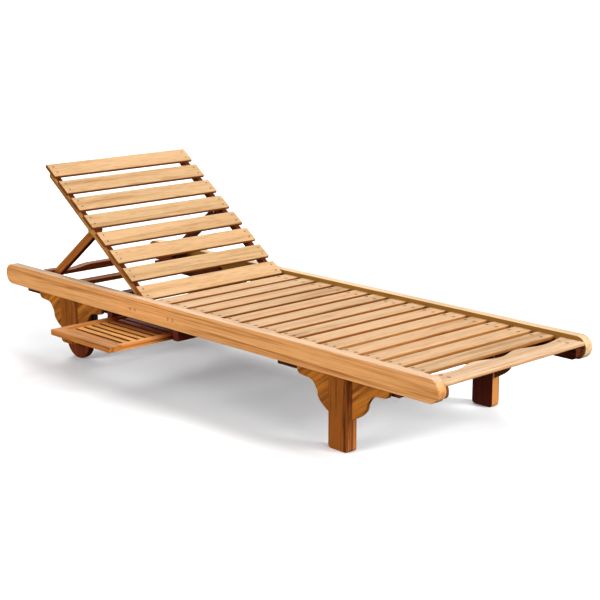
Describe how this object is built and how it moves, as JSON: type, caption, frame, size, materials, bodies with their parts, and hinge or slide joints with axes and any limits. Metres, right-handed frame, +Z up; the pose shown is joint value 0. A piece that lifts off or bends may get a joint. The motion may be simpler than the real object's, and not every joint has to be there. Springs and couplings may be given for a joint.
{
  "type": "sun lounger",
  "caption": "Slatted wooden sun lounger with a hinged back on a prop and notched racks, wheels at the head end and a tray that slides out from under the side rail.",
  "frame": {"origin": "on the floor, under the centre of the bounding box with the tray pulled out", "axes": "+X towards the foot end, +Y towards the user's left, away from the tray, +Z up"},
  "size_m": [1.9998, 0.8846, 0.6407],
  "materials": {
    "teak": "oiled, satin",
    "teak_dark": "oiled, satin",
    "wheel_teak": "oiled, satin",
    "brass": "satin",
    "steel": "brushed"
  },
  "bodies": {
    "frame": {"axle_rail": "teak_dark", "axles": "steel", "foot_slat": "teak", "front_brackets_left": "teak", "front_brackets_right": "teak", "front_cross_rail": "teak_dark", "front_leg_left": "teak", "front_leg_right": "teak", "hinge_blocks": "teak_dark", "hinge_pins": "brass", "leg_cleats": "teak_dark", "middle_cross_rail": "teak_dark", "prop_rack_left": "teak_dark", "prop_rack_right": "teak_dark", "rear_brackets_left": "teak", "rear_brackets_right": "teak", "rear_cross_rail": "teak_dark", "rear_leg_left": "teak", "rear_leg_right": "teak", "seat_slat_01": "teak", "seat_slat_02": "teak", "seat_slat_03": "teak", "seat_slat_04": "teak", "seat_slat_05": "teak", "seat_slat_06": "teak", "seat_slat_07": "teak", "seat_slat_08": "teak", "seat_slat_09": "teak", "seat_slat_10": "teak", "seat_slat_11": "teak", "seat_slat_12": "teak", "seat_slat_13": "teak", "seat_slat_14": "teak", "side_rail_left": "teak", "side_rail_right": "teak", "slat_ledger_left": "teak", "slat_ledger_right": "teak", "tray_runners": "teak_dark", "wheel_hangers": "teak_dark"},
    "backrest": {"back_slat_01": "teak", "back_slat_02": "teak", "back_slat_03": "teak", "back_slat_04": "teak", "back_slat_05": "teak", "back_slat_06": "teak", "back_slat_07": "teak", "back_slat_08": "teak", "back_stile_left": "teak", "back_stile_right": "teak", "prop_pins": "brass"},
    "prop": {"prop_arm_left": "teak", "prop_arm_right": "teak", "prop_bar": "teak"},
    "tray": {"tray_back_board": "teak", "tray_front_board": "teak", "tray_side_boards": "teak", "tray_slats": "teak"},
    "left_wheel": {"wheel_left": "wheel_teak"},
    "right_wheel": {"wheel_right": "wheel_teak"}
  },
  "joints": [
    {"name": "back_hinge", "type": "hinge", "parent": "frame", "child": "backrest", "pos_m": [-0.2773, 0.11475, 0.253], "axis": [0, 1, 0], "range_deg": [-35.46, 24.54]},
    {"name": "prop_pivot", "type": "hinge", "parent": "backrest", "child": "prop", "pos_m": [-0.55516, 0.11475, 0.44722], "axis": [0, 1, 0], "range_deg": [-50.34, 72.73]},
    {"name": "tray_slide", "type": "slide", "parent": "frame", "child": "tray", "axis": [0, 1, 0], "range_m": [0, 0.232]},
    {"name": "left_wheel_spin", "type": "hinge", "parent": "frame", "child": "left_wheel", "pos_m": [-0.646, 0.38525, 0.066], "axis": [0, 1, 0], "continuous": true},
    {"name": "right_wheel_spin", "type": "hinge", "parent": "frame", "child": "right_wheel", "pos_m": [-0.646, -0.15575, 0.066], "axis": [0, 1, 0], "continuous": true}
  ],
  "couplings": [
    {"joint": "prop_pivot", "follows": "back_hinge", "ratio": -2.05}
  ]
}
